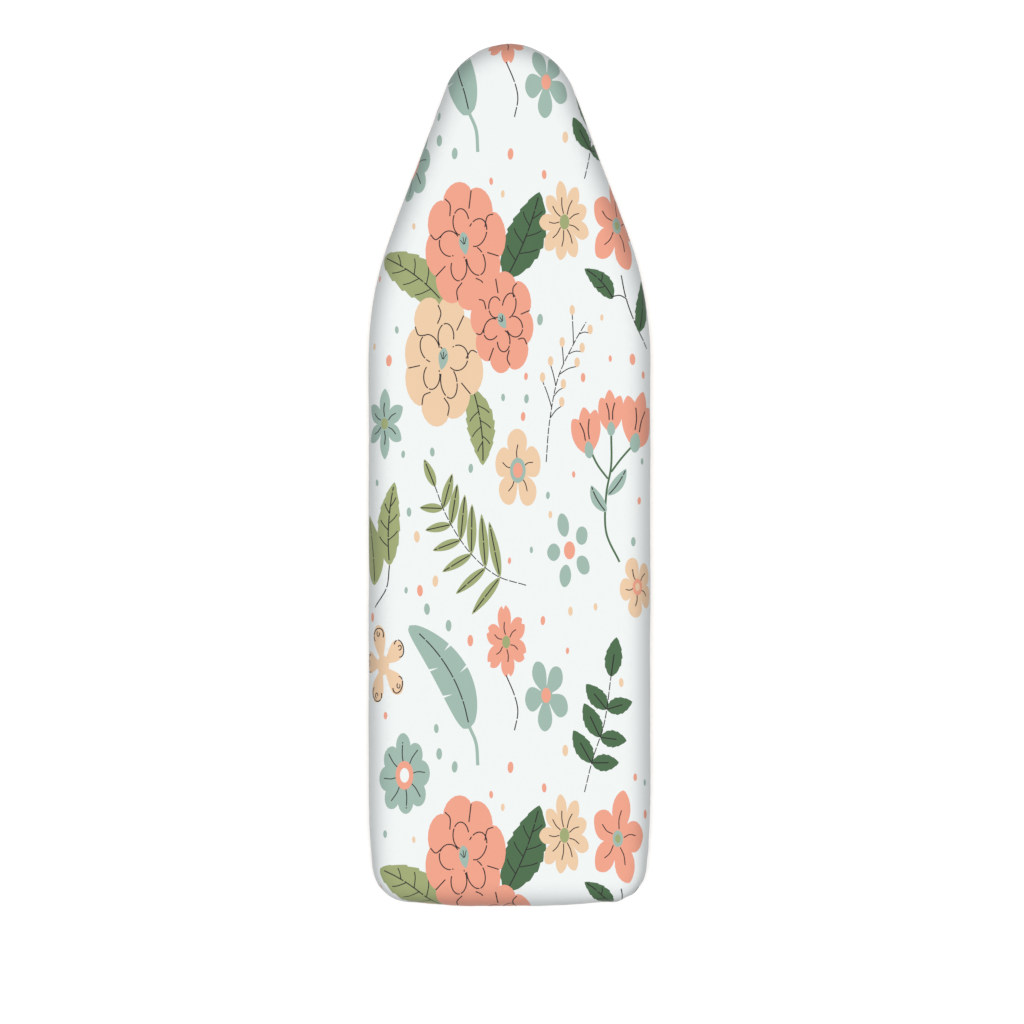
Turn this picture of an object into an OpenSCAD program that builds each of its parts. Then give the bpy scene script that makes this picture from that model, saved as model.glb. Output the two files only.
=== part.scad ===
// Folding sleeve ironing board: padded nose-shaped top on two wire links and a wire base.
// Millimetres. X is the width, +Y points at the nose, Z is up.
// Origin: middle of the outline, on the surface that the feet stand on.

/* [Board outline] */
// Radius of the nose
nose_r = 41; // [38:1:42]
// Length of each straight tapering side behind the nose
taper_l = 94; // [90:1:96]
// Width of the covered top across its straight sides
board_w = 170; // [166:2:180]
// Length of the covered top from heel to nose
board_l = 520; // [500:5:560]
// Radius of the two heel corners
heel_r = 24; // [23:1:30]

/* [Padding and cover] */
// Thickness of the cotton cover
cover_t = 0.8; // [0.6:0.1:1.2]
// Thickness of the foam pad
foam_t = 7; // [6:0.5:9]
// Thickness of the felt underlay
felt_t = 2.2; // [1.5:0.1:3]
// Thickness of the plywood panel
panel_t = 9; // [9:1:12]
// Radius of the soft upper edge
edge_r = 12; // [10:1:14]
// How far the cover is folded in under the panel
fold_w = 20; // [18:1:21]

/* [Stand] */
// Diameter of the steel wire
rod_d = 8; // [7:0.5:8]
// Length of the folding links between their pivots
link_l = 105.7; // [100:0.1:112]
// How far the open links lean back past upright, in degrees
lean = 8; // [6:1:10]
// Distance between the two link pivot lines
pivot_gap = 160; // [155:1:170]
// Half width of each link loop between its wire centres
link_x = 50; // [47:1:51]
// Half width of the base loop at the heel
base_x = 68; // [66:1:72]
// Length of the straight sides of the base loop
base_side_l = 343.75; // [325:6.25:350]

/* [Hidden] */
$fn = 64;
fine_fn = 720;          // roundness of the large shoulder arcs
rod_r = rod_d / 2;
far = 250;              // reach of the cutting wedges

// Outline: nose arc, straight taper, shoulder arc, straight side, heel corner
tap_s = 0.352;          // sine of the angle between the tapering side and Y
tap_c = 0.936;          // its cosine
half_w = board_w / 2;
nose_y = board_l / 2;
heel_y = -board_l / 2;
nose_cy = nose_y - nose_r;
taper_x = nose_r * tap_c;
taper_y = nose_cy + nose_r * tap_s;
shoulder_r = (half_w - taper_x - taper_l * tap_s) / (1 - tap_c);
shoulder_x = half_w - shoulder_r;
shoulder_y = taper_y - taper_l * tap_c - shoulder_r * tap_s;
corner_x = half_w - heel_r;
corner_y = heel_y + heel_r;

// Heights of the base
foot_pad = 5;           // rubber under the wire
base_z = foot_pad + rod_r;
bar_t = 2.5;            // base crossbars
weld_sink = 0.4;        // depth of the welded seat over the wire
bar_z = base_z + rod_r - weld_sink;
strap_t = 1.6;          // saddles that hold the pivots
bush_t = 1.35;          // nylon bush wall
run_gap = 0.05;         // running clearance in the bushes
bush_r = rod_r + run_gap + bush_t;
strap_r = bush_r + strap_t;
pivot_drop = bush_r + 0.2;
pivot_z = bar_z + bar_t + pivot_drop;

// Heights of the padded top, counted from the panel's underside
felt_z = panel_t;
foam_z = felt_z + felt_t;
top_z = foam_z + foam_t + cover_t;
lower_r = 4;            // soft lower edge of the cover
wrap = 7.5;             // cover and foam outside the panel's edge
arc_n = 8;              // steps of each soft edge

// Pivot lines
hinge_z = pivot_z + link_l * cos(lean);
panel_z = hinge_z + pivot_drop;
front_y = 15;
rear_y = front_y - pivot_gap;
lean_y = -link_l * sin(lean);
fold_y = link_l * (cos(lean) + sin(lean));   // shift of the top when folded through 90 degrees
fold_drop = link_l * sin(lean);              // pivot height difference when folded
strap_x = 28;
strap_w = 16;
ear_l = 15;
ear_hole = 11;
corner_r = 10;          // bend of the link loops

// Base loop, its sides drawn in towards the nose
tilt_s = 0.07584;       // sine of the angle between its side and Y
tilt_c = 0.99712;       // its cosine
tilt = asin(tilt_s);
bend_r = 25;            // heel bends
tip_r = 31.25;          // nose bends
bend_x = base_x - bend_r;
bend_y = heel_y + 48 + bend_r;
side_x = bend_x + bend_r * tilt_c;
side_y = bend_y + bend_r * tilt_s;
tip_x = side_x - base_side_l * tilt_s - tip_r * tilt_c;
tip_y = side_y + base_side_l * tilt_c - tip_r * tilt_s;
foot_heel_y = bend_y + 11;
foot_nose_y = tip_y - 10;
foot_len = 22;

// Screws, rivets and vents
shank_r = 1.7;
head_r = 3.4;
head_h = 2.2;
vent_r = 5;
vent_pitch = 40;

// Colours
c_cotton = [0.95, 0.96, 0.95];
c_trim = [0.88, 0.9, 0.88];
c_foam = [0.9, 0.87, 0.78];
c_felt = [0.72, 0.72, 0.7];
c_ply = [0.82, 0.68, 0.48];
c_wire = [0.86, 0.87, 0.87];
c_zinc = [0.68, 0.7, 0.72];
c_nylon = [0.9, 0.9, 0.86];
c_rubber = [0.32, 0.33, 0.34];

// Half width of the base loop at y, between its wire centres
function loop_x(y) = side_x - (y - side_y) * tilt_s / tilt_c;

// Points of an arc of radius r about c from angle a to b
function arc(c, r, a, b) =
  [for (i = [0:arc_n]) c + r * [cos(a + (b - a) * i / arc_n), sin(a + (b - a) * i / arc_n)]];

// ---------- outline helpers ----------

// Slab with the plan outline moved in by e
module slab(e, h) {
  nx = taper_x - e * tap_c;
  ny = taper_y - e * tap_s;
  sx = shoulder_x + (shoulder_r - e) * tap_c;
  sy = shoulder_y + (shoulder_r - e) * tap_s;
  union() {
    intersection() {
      translate([0, nose_cy, 0]) cylinder(r = nose_r - e, h = h);
      translate([-half_w, ny, 0]) cube([board_w, nose_r, h]);
    }
    linear_extrude(height = h) polygon([[-nx, ny], [nx, ny], [sx, sy], [-sx, sy]]);
    intersection() {
      translate([shoulder_x, shoulder_y, 0]) cylinder(r = shoulder_r - e, h = h, $fn = fine_fn);
      translate([-shoulder_x, shoulder_y, 0]) cylinder(r = shoulder_r - e, h = h, $fn = fine_fn);
      translate([-half_w, shoulder_y, 0]) cube([board_w, sy - shoulder_y, h]);
    }
    translate([e - half_w, corner_y, 0]) cube([board_w - 2 * e, shoulder_y - corner_y, h]);
    translate([-corner_x, heel_y + e, 0]) cube([2 * corner_x, heel_r - e, h]);
    for (s = [-1, 1])
      intersection() {
        translate([s * corner_x, corner_y, 0]) cylinder(r = heel_r - e, h = h);
        translate([s > 0 ? corner_x : -half_w, heel_y, 0]) cube([heel_r, heel_r, h]);
      }
  }
}

// Ring with the child profile at radius r; the profile's x is the distance inside the outline
module edge_ring(r, f) {
  rotate_extrude($fn = f) translate([r, 0]) mirror([1, 0]) children();
}

// Straight run of the child profile, l long towards +Y, its outer side at x = 0
module edge_run(l) {
  translate([0, l, 0]) rotate([90, 0, 0]) linear_extrude(height = l) mirror([1, 0]) children();
}

// Sweeps the child profile right round the outline
module edge_sweep() {
  union() {
    translate([0, nose_cy, 0]) intersection() {
      edge_ring(nose_r, 96) children();
      translate([0, 0, -far / 2]) linear_extrude(height = far)
        polygon([[0, 0], [far * tap_c, far * tap_s], [far, far], [-far, far], [-far * tap_c, far * tap_s]]);
    }
    for (s = [0, 1])
      mirror([s, 0, 0]) {
        translate([taper_x + taper_l * tap_s, taper_y - taper_l * tap_c, 0])
          rotate([0, 0, asin(tap_s)]) edge_run(taper_l) children();
        translate([shoulder_x, shoulder_y, 0]) intersection() {
          edge_ring(shoulder_r, fine_fn) children();
          translate([0, 0, -far / 2]) linear_extrude(height = far)
            polygon([[0, 0], [far, 0], [far * tap_c, far * tap_s]]);
        }
        translate([half_w, corner_y, 0]) edge_run(shoulder_y - corner_y) children();
        translate([corner_x, corner_y, 0]) intersection() {
          edge_ring(heel_r, 96) children();
          translate([0, -far, -far / 2]) cube([far, far, far]);
        }
      }
    translate([-corner_x, heel_y, 0]) rotate([0, 0, -90]) edge_run(2 * corner_x) children();
  }
}

// Outer line of the soft edge moved in by g, from the top face round to the underside
function edge_line(g) = concat(
  [[fold_w, top_z - g]],
  arc([edge_r, top_z - edge_r], edge_r - g, 90, 180),
  arc([lower_r, lower_r - cover_t], lower_r - g, 180, 270),
  [[fold_w, g - cover_t]]);

function reversed(v) = [for (i = [len(v) - 1:-1:0]) v[i]];

// Flat-ended rounded bar section, w wide and h high, about c
function stadium(c, w, h) = concat(
  arc(c + [(w - h) / 2, 0], h / 2, -90, 90),
  arc(c - [(w - h) / 2, 0], h / 2, 90, 270));

// ---------- padded top ----------

// Cotton cover, pulled over the pad and folded in under the panel
module fitted_cover() {
  color(c_cotton) translate([0, 0, panel_z]) union() {
    translate([0, 0, top_z - cover_t]) slab(fold_w, cover_t);
    edge_sweep() polygon(concat(edge_line(0), reversed(edge_line(cover_t))));
  }
}

// Bias strip sewn to the cover's edge, a channel with its lips almost closed
module hem_casing() {
  c = [fold_w - 3.1, -cover_t - 1.3];
  lip = 0.15;
  color(c_trim) translate([0, 0, panel_z]) edge_sweep()
    polygon(concat(
      arc(c + [1.7, 0], 1.3, 7, 90),
      arc(c - [1.7, 0], 1.3, 90, 270),
      arc(c + [1.7, 0], 1.3, -90, -7),
      [c + [2.2, -lip]],
      reversed(arc(c + [1.65, 0], 0.65, -90, -14)),
      reversed(arc(c - [1.65, 0], 0.65, 90, 270)),
      reversed(arc(c + [1.65, 0], 0.65, 14, 90)),
      [c + [2.2, lip]]));
}

// Elastic that runs right round inside the hem
module hem_elastic() {
  color(c_trim) translate([0, 0, panel_z]) edge_sweep()
    polygon(stadium([fold_w - 3.1, -cover_t - 1.3], 4.4, 1.1));
}

// Foam that lies on the felt and wraps the panel's edge
module foam_pad() {
  color(c_foam) translate([0, 0, panel_z]) union() {
    translate([0, 0, foam_z]) slab(fold_w, foam_t);
    edge_sweep()
      polygon(concat(
        [[fold_w, top_z - cover_t]],
        arc([edge_r, top_z - edge_r], edge_r - cover_t, 90, 180),
        arc([lower_r, lower_r - cover_t], lower_r - cover_t, 180, 270),
        [[wrap, 0], [wrap, foam_z], [fold_w, foam_z]]));
  }
}

// Needled felt between the panel and the foam
module felt_underlay() {
  color(c_felt) translate([0, 0, panel_z + felt_z]) slab(wrap, felt_t);
}

// Plywood panel with steam vents and pilot holes
module board_panel() {
  color(c_ply) difference() {
    translate([0, 0, panel_z]) slab(wrap, panel_t);
    for (k = [-5:5])
      translate([0, k * vent_pitch, panel_z - 1]) cylinder(r = vent_r, h = panel_t + 2);
    for (s = [-1, 1])
      for (k = [-5:1])
        translate([s * link_x, (k + 0.5) * vent_pitch, panel_z - 1])
          cylinder(r = vent_r, h = panel_t + 2);
    screw_places() translate([0, 0, -1]) cylinder(r = shank_r, h = 8, $fn = 24);
  }
}

// ---------- pivots ----------

// Bent strap over a bush; its flat side is at z = pivot_drop and the pivot is at the origin
module strap() {
  difference() {
    union() {
      rotate([0, 90, 0]) cylinder(r = strap_r, h = strap_w, center = true);
      translate([-strap_w / 2, -strap_r, 0]) cube([strap_w, 2 * strap_r, pivot_drop]);
      translate([-strap_w / 2, -ear_l, pivot_drop - strap_t]) cube([strap_w, 2 * ear_l, strap_t]);
    }
    rotate([0, 90, 0]) cylinder(r = bush_r, h = 2 * strap_w, center = true);
    translate([-strap_w, -bush_r, 0]) cube([2 * strap_w, 2 * bush_r, 2 * strap_r]);
    for (s = [-1, 1])
      translate([0, s * ear_hole, 0]) cylinder(r = shank_r, h = 2 * pivot_drop, $fn = 24);
  }
}

// Split nylon sleeve round the wire, its slit towards the flat side of the strap
module bush() {
  rotate([0, 90, 0]) difference() {
    cylinder(r = bush_r, h = strap_w, center = true);
    cylinder(r = rod_r + run_gap, h = strap_w + 2, center = true);
    translate([-bush_r - 1, -0.5, -strap_w]) cube([bush_r, 1, 2 * strap_w]);
  }
}

module top_saddle(x, y) {
  color(c_zinc) translate([x, y + lean_y, hinge_z]) strap();
}

module base_saddle(x, y) {
  color(c_zinc) translate([x, y, pivot_z]) rotate([180, 0, 0]) strap();
}

module top_saddle_front_left() { top_saddle(-strap_x, front_y); }
module top_saddle_front_right() { top_saddle(strap_x, front_y); }
module top_saddle_rear_left() { top_saddle(-strap_x, rear_y); }
module top_saddle_rear_right() { top_saddle(strap_x, rear_y); }
module base_saddle_front_left() { base_saddle(-strap_x, front_y); }
module base_saddle_front_right() { base_saddle(strap_x, front_y); }
module base_saddle_rear_left() { base_saddle(-strap_x, rear_y); }
module base_saddle_rear_right() { base_saddle(strap_x, rear_y); }

// Four bushes in the saddles under the panel
module top_bushes() {
  color(c_nylon)
    for (x = [-strap_x, strap_x])
      for (y = [front_y, rear_y])
        translate([x, y + lean_y, hinge_z]) bush();
}

// Four bushes in the saddles on the base
module base_bushes() {
  color(c_nylon)
    for (x = [-strap_x, strap_x])
      for (y = [front_y, rear_y])
        translate([x, y, pivot_z]) rotate([180, 0, 0]) bush();
}

// ---------- folding links ----------

// Quarter bend of the wire about the origin, from +X to +Z in the XZ plane
module link_bend() {
  rotate([90, 0, 0]) rotate_extrude(angle = 90) translate([corner_r, 0]) circle(r = rod_r, $fn = 32);
}

// Closed wire loop that stands from its lower pivot line, leaning back
module link_loop(y) {
  color(c_wire) translate([0, y, pivot_z]) rotate([lean, 0, 0]) union() {
    for (z = [0, link_l])
      translate([corner_r - link_x, 0, z]) rotate([0, 90, 0])
        cylinder(r = rod_r, h = 2 * (link_x - corner_r), $fn = 32);
    for (s = [0, 1])
      mirror([s, 0, 0]) {
        translate([link_x, 0, corner_r])
          cylinder(r = rod_r, h = link_l - 2 * corner_r, $fn = 32);
        translate([link_x - corner_r, 0, link_l - corner_r]) link_bend();
        translate([link_x - corner_r, 0, corner_r]) mirror([0, 0, 1]) link_bend();
      }
  }
}

module front_link() { link_loop(front_y); }
module rear_link() { link_loop(rear_y); }

// ---------- base ----------

// Straight side of the base loop on the right
module loop_side() {
  translate([side_x, side_y, base_z]) rotate([0, 0, tilt]) rotate([-90, 0, 0])
    cylinder(r = rod_r, h = base_side_l, $fn = 32);
}

// Wire bend about the origin with radius r, to the right of X = 0 and on the child's side
module loop_bend(r) {
  intersection() {
    rotate_extrude($fn = 96) translate([r, 0]) circle(r = rod_r, $fn = 32);
    translate([0, -2 * r, -rod_d]) cube([2 * r, 4 * r, 2 * rod_d]);
    children();
  }
}

// Wire loop that the whole board stands on
module base_loop() {
  color(c_wire) union() {
    for (s = [0, 1])
      mirror([s, 0, 0]) {
        loop_side();
        translate([bend_x, bend_y, base_z]) loop_bend(bend_r)
          rotate([0, 0, tilt]) translate([-90, -90, -rod_d]) cube([180, 90, 2 * rod_d]);
        translate([tip_x, tip_y, base_z]) loop_bend(tip_r)
          rotate([0, 0, tilt]) translate([-90, 0, -rod_d]) cube([180, 90, 2 * rod_d]);
      }
    translate([-bend_x, bend_y - bend_r, base_z]) rotate([0, 90, 0])
      cylinder(r = rod_r, h = 2 * bend_x, $fn = 32);
    translate([-tip_x, tip_y + tip_r, base_z]) rotate([0, 90, 0])
      cylinder(r = rod_r, h = 2 * tip_x, $fn = 32);
  }
}

// Flat bar welded across the base loop under a pivot line
module crossbar(y) {
  half = loop_x(y) + 2;
  color(c_zinc) difference() {
    translate([-half, y - ear_l - 1, bar_z]) cube([2 * half, 2 * ear_l + 2, bar_t]);
    for (s = [0, 1])
      mirror([s, 0, 0]) loop_side();
    for (x = [-strap_x, strap_x])
      for (s = [-1, 1])
        translate([x, y + s * ear_hole, bar_z - 1]) cylinder(r = shank_r, h = bar_t + 2, $fn = 24);
    if (y == rear_y)
      for (x = [-link_x, link_x])
        translate([x, y - ear_hole, bar_z - 1]) cylinder(r = shank_r, h = bar_t + 2, $fn = 24);
  }
}

module crossbar_front() { crossbar(front_y); }
module crossbar_rear() { crossbar(rear_y); }

// Bent steel stop that the open rear link leans on
module stop_bracket(x) {
  t = 2;
  face = -rod_r - 0.2;      // just behind the wire
  rise = 26;
  foot_y = face / cos(lean) + pivot_drop * tan(lean);
  foot_in = foot_y - t / cos(lean) - t * tan(lean) - 0.2;
  tip = [face * cos(lean) - rise * sin(lean), face * sin(lean) + rise * cos(lean)];
  color(c_zinc) translate([x - 8, rear_y, pivot_z]) difference() {
    rotate([90, 0, 90]) linear_extrude(height = 16)
      polygon([[-ear_l - 1, -pivot_drop], [foot_y, -pivot_drop], tip,
        tip - t * [cos(lean), sin(lean)], [foot_in, t - pivot_drop], [-ear_l - 1, t - pivot_drop]]);
    translate([8, -ear_hole, -pivot_drop - 1]) cylinder(r = shank_r, h = t + 2, $fn = 24);
  }
}

module stop_bracket_left() { stop_bracket(-link_x); }
module stop_bracket_right() { stop_bracket(link_x); }

// Rubber sleeve on the base wire with a flat sole
module foot(s, y) {
  translate([s * loop_x(y), y, 0]) rotate([0, 0, s * tilt]) difference() {
    union() {
      translate([0, foot_len / 2, base_z]) rotate([90, 0, 0]) cylinder(r = rod_r + 3, h = foot_len);
      translate([-6, -foot_len / 2, 0]) cube([12, foot_len, base_z]);
    }
    translate([0, foot_len, base_z]) rotate([90, 0, 0])
      cylinder(r = rod_r, h = 2 * foot_len, $fn = 32);
  }
}

module feet_heel() { color(c_rubber) for (s = [-1, 1]) foot(s, foot_heel_y); }
module feet_nose() { color(c_rubber) for (s = [-1, 1]) foot(s, foot_nose_y); }

// ---------- fixings ----------

// Puts its child, pointing up from the panel's underside, at every screw
module screw_places() {
  for (x = [-strap_x, strap_x]) {
    for (y = [front_y, rear_y])
      for (s = [-1, 1])
        translate([x, y + lean_y + s * ear_hole, panel_z]) children();
    translate([x, front_y - fold_y, panel_z]) children();
  }
}

// Domed head below z = 0 with a cross slot
module domed_head(r, h) {
  difference() {
    intersection() {
      translate([0, 0, -h]) cylinder(r = r, h = h, $fn = 32);
      translate([0, 0, h]) sphere(r = 2.1 * h, $fn = 48);
    }
    translate([-1.7, -0.4, -h - 1]) cube([3.4, 0.8, 2]);
    translate([-0.4, -1.7, -h - 1]) cube([0.8, 3.4, 2]);
  }
}

// Wood screws that hold the saddles and the two buffers
module pan_screws() {
  color(c_zinc) screw_places() {
    translate([0, 0, -strap_t]) domed_head(head_r, head_h);
    translate([0, 0, -strap_t]) cylinder(r = shank_r, h = 7.6, $fn = 24);
    translate([0, 0, 6]) cylinder(r1 = shank_r, r2 = 0.4, h = 1, $fn = 24);
  }
}

// One rivet through a plate of thickness t that starts at z = 0
module rivet(t) {
  cylinder(r = shank_r, h = t, $fn = 24);
  translate([0, 0, -1.2]) cylinder(r1 = 2.2, r2 = 3, h = 1.2, $fn = 32);
  translate([0, 0, t]) cylinder(r1 = 3, r2 = 2.2, h = 1.2, $fn = 32);
}

// Rivets through the saddles, the stops and the crossbars
module base_rivets() {
  color(c_zinc) {
    for (x = [-strap_x, strap_x])
      for (y = [front_y, rear_y])
        for (s = [-1, 1])
          translate([x, y + s * ear_hole, bar_z]) rivet(bar_t + strap_t);
    for (x = [-link_x, link_x])
      translate([x, rear_y - ear_hole, bar_z]) rivet(bar_t + 2);
  }
}

// Rubber buffers that land on the front base saddles when the stand is folded
module fold_buffers() {
  gap = pivot_drop + fold_drop - strap_r - 0.3;
  color(c_rubber)
    for (x = [-strap_x, strap_x])
      translate([x, front_y - fold_y, panel_z - gap]) difference() {
        cylinder(r1 = 6.5, r2 = 7.5, h = gap);
        translate([0, 0, -1]) cylinder(r = head_r + 0.4, h = gap - strap_t + 1);
        cylinder(r = shank_r, h = gap + 1, $fn = 24);
      }
}

fitted_cover();
hem_casing();
hem_elastic();
foam_pad();
felt_underlay();
board_panel();
top_saddle_front_left();
top_saddle_front_right();
top_saddle_rear_left();
top_saddle_rear_right();
top_bushes();
pan_screws();
fold_buffers();
front_link();
rear_link();
base_loop();
crossbar_front();
crossbar_rear();
base_saddle_front_left();
base_saddle_front_right();
base_saddle_rear_left();
base_saddle_rear_right();
base_bushes();
base_rivets();
stop_bracket_left();
stop_bracket_right();
feet_heel();
feet_nose();
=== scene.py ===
"""Sleeve ironing board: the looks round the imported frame.

Lengths are in mm unless a comment says otherwise. x runs across the board, y towards its nose, z up.
"""

import random
from math import atan2, copysign, cos, degrees, dist, exp, hypot, pi, radians, sin, sqrt, tau

import bmesh
import bpy
import numpy as np
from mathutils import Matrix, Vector
from mathutils.geometry import delaunay_2d_cdt


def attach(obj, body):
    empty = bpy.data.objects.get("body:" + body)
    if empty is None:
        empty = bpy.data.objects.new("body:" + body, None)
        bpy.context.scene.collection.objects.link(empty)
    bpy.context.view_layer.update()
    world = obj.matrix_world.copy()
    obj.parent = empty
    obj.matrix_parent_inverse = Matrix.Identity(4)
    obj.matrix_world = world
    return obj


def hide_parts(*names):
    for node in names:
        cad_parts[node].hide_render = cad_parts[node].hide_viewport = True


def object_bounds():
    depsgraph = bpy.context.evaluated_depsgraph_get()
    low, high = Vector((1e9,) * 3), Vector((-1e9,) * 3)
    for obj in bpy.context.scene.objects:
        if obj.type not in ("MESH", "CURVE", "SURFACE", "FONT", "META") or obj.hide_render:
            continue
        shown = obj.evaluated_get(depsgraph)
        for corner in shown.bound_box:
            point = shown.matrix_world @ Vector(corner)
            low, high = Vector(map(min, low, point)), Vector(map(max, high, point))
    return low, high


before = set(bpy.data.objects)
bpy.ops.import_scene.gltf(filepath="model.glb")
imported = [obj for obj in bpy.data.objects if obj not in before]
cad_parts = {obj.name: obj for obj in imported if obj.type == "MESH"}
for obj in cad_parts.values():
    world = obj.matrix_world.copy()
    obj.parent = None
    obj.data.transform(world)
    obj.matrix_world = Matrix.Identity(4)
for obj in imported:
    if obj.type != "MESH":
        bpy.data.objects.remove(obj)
cad_low, cad_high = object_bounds()
scene = bpy.context.scene
MM = 0.001

# -------- sizes, as in part.scad
HALF_L, HALF_W = 260.0, 85.0
NOSE_R, SHOULDER_R, CORNER_R = 41.0, 211.5, 24.0
SHOULDER_Y = 71.0  # where the shoulder's arc meets the straight side
TAPER_N = (0.936, 0.352)  # the way that the straight taper faces
NOSE_Y = HALF_L - NOSE_R
HEEL_Y = -HALF_L
SHOULDER_X = HALF_W - SHOULDER_R
CORNER_X, CORNER_Y = HALF_W - CORNER_R, HEEL_Y + CORNER_R
TAPER_A = (NOSE_R * TAPER_N[0], NOSE_Y + NOSE_R * TAPER_N[1])
TAPER_B = (SHOULDER_X + SHOULDER_R * TAPER_N[0], SHOULDER_Y + SHOULDER_R * TAPER_N[1])
TAPER_ANGLE = atan2(TAPER_N[1], TAPER_N[0])

COVER_TOP = 149.971
COVER_T, FOAM_T, FELT_T, PANEL_T = 0.8, 7.0, 2.2, 9.0
FOAM_LOW = COVER_TOP - COVER_T - FOAM_T
FELT_LOW = FOAM_LOW - FELT_T
PANEL_LOW = FELT_LOW - PANEL_T
WRAP = 7.5  # from the outline to the panel's edge, which the foam wraps
EDGE_R, EDGE_SIDE, LOWER_R = 12.0, 3.8, 4.0  # the cover's rounded edge, upright side and lower turn
FOLD_W = 20.0  # how far the cover reaches in under the board
HEM_IN, HEM_Z = 16.9, PANEL_LOW - 2.1

# lengths along the flat cut, outwards from where the rounded edge starts
ARC_TOP = EDGE_R * pi / 2
ARC_LOW = LOWER_R * pi / 2
REACH = ARC_TOP + EDGE_SIDE + ARC_LOW + FOLD_W - LOWER_R
OUTSET = REACH - EDGE_R  # how far the flat cut reaches past the outline

# -------- node helpers
class Tree:
    """Short calls for the node tree of a material or a world, whose last node is called shader."""

    def __init__(self, owner, shader):
        owner.use_nodes = True
        self.owner = owner
        self.shader = owner.node_tree.nodes[shader]

    def feed(self, socket, value):
        """Links another node's output, or sets a constant on the socket itself."""
        if isinstance(value, bpy.types.NodeSocket):
            self.owner.node_tree.links.new(value, socket)
        elif socket.type == "RGBA":
            socket.default_value = (*value, 1.0)
        else:
            socket.default_value = value

    def set(self, **values):
        """Feeds the shader's sockets, named with _ for a space."""
        for key, value in values.items():
            self.feed(self.shader.inputs[key.replace("_", " ")], value)

    def add(self, kind, inputs=None, **settings):
        """A new shader node's outputs. kind is its type without ShaderNode."""
        node = self.owner.node_tree.nodes.new("ShaderNode" + kind)
        for key, value in settings.items():
            setattr(node, key, value)
        for key, value in (inputs or {}).items():
            self.feed(node.inputs[key], value)
        return node.outputs

    def math(self, operation, *values):
        return self.add("Math", dict(enumerate(values)), operation=operation)[0]

    def plus(self, first, second):
        return self.math("ADD", first, second)

    def minus(self, first, second):
        return self.math("SUBTRACT", first, second)

    def times(self, first, second):
        return self.math("MULTIPLY", first, second)

    def wave(self, value, pitch):
        return self.math("SINE", self.times(value, tau / pitch))

    def place(self, scale=1.0 / MM, flat=False):
        """Coordinates, in mm unless scaled otherwise: the piece's own, or its flat cut's."""
        if flat:
            source = self.add("UVMap", uv_map="flat")["UV"]
        else:
            source = self.add("TexCoord")["Object"]
        return self.add("VectorMath", {0: source, "Scale": scale}, operation="SCALE")[0]

    def split(self, vector):
        return self.add("SeparateXYZ", {0: vector})

    def noise(self, where, scale, detail=3.0, rough=0.5, stretch=None):
        if stretch:
            where = self.add("Mapping", {"Scale": stretch, "Vector": where})[0]
        inputs = {"Scale": scale, "Detail": detail, "Roughness": rough, "Vector": where}
        return self.add("TexNoise", inputs)["Fac"]

    def cells(self, where, scale):
        return self.add("TexVoronoi", {"Scale": scale, "Vector": where})

    def ramp(self, value, *stops):
        fac = self.add("ValToRGB", {"Fac": value})["Color"]
        elements = fac.node.color_ramp.elements
        while len(elements) < len(stops):
            elements.new(0.5)
        for element, (at, colour) in zip(elements, stops):
            element.position = at
            element.color = (*colour, 1.0)
        return fac

    def spread(self, value, low, high):
        """A value from 0 to 1, brought to the range from low to high."""
        return self.add("MapRange", {"To Min": low, "To Max": high, "Value": value})["Result"]

    def mix(self, share, first, second, blend="MIX"):
        """Two colours, with that share of the second."""
        inputs = {0: share, 6: first, 7: second}
        return self.add("Mix", inputs, data_type="RGBA", blend_type=blend)[2]

    def bump(self, height, strength, distance):
        inputs = {"Strength": strength, "Distance": distance * MM, "Height": height}
        self.set(Normal=self.add("Bump", inputs)["Normal"])


def new_material(name, colour, rough, metal=0.0, specular=0.5, sheen=0.0, coat=0.0):
    """The node tree of a Principled material, with its constant values on the shader's own sockets."""
    tree = Tree(bpy.data.materials.new(name), "Principled BSDF")
    tree.set(Base_Color=colour, Roughness=rough, Metallic=metal, Specular_IOR_Level=specular)
    tree.set(Sheen_Weight=sheen, Sheen_Roughness=0.5, Coat_Weight=coat)
    tree.owner.diffuse_color = (*colour, 1.0)
    return tree


# -------- camera and light, in metres and watts
CAMERA_PLACE = (0.0015, -0.022, 3.15)  # straight above, as in the photograph
LENS, SENSOR = 175.8, 36.0  # mm
FARTHEST = 50.0
LAMP_HEIGHT = 4.6
FILL, BACKDROP = 0.26, 0.98  # the world as a fill light, and where it is seen
WHITE = (1.0, 1.0, 1.0)


def show(made):
    """Puts an object in the scene."""
    scene.collection.objects.link(made)


def add_camera():
    data = bpy.data.cameras.new("camera")
    data.sensor_width = SENSOR
    data.lens = LENS
    data.clip_end = FARTHEST
    camera = bpy.data.objects.new("camera", data)
    camera.location = CAMERA_PLACE
    show(camera)
    scene.camera = camera


def add_area(name, place, aim, size, watts):
    data = bpy.data.lights.new(name, "AREA")
    data.shape = "DISK"
    data.size = size
    data.energy = watts
    light = bpy.data.objects.new(name, data)
    light.location = place
    light.rotation_euler = (Vector(aim) - Vector(place)).to_track_quat("-Z", "Y").to_euler()
    show(light)


def add_world():
    """A white studio: dim as a fill light, bright where it is seen behind the object."""
    tree = Tree(bpy.data.worlds.new("studio"), "Background")
    seen = tree.add("LightPath")["Is Camera Ray"]
    tree.set(Color=WHITE, Strength=tree.spread(seen, FILL, BACKDROP))
    scene.world = tree.owner


add_camera()
add_world()
add_area("overhead", (0.0, 0.0, LAMP_HEIGHT), (0.0, 0.0, 0.0), size=0.4, watts=164.0)
add_area("window", (-2.2, -2.6, 1.9), (0.0, 0.0, 0.1), size=1.6, watts=5.0)
scene.view_settings.view_transform = "Standard"
scene.view_settings.look = "None"


def shade(colour, amount):
    """The colour, darker under 1 and lighter over it."""
    return tuple(c * amount for c in colour)


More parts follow.
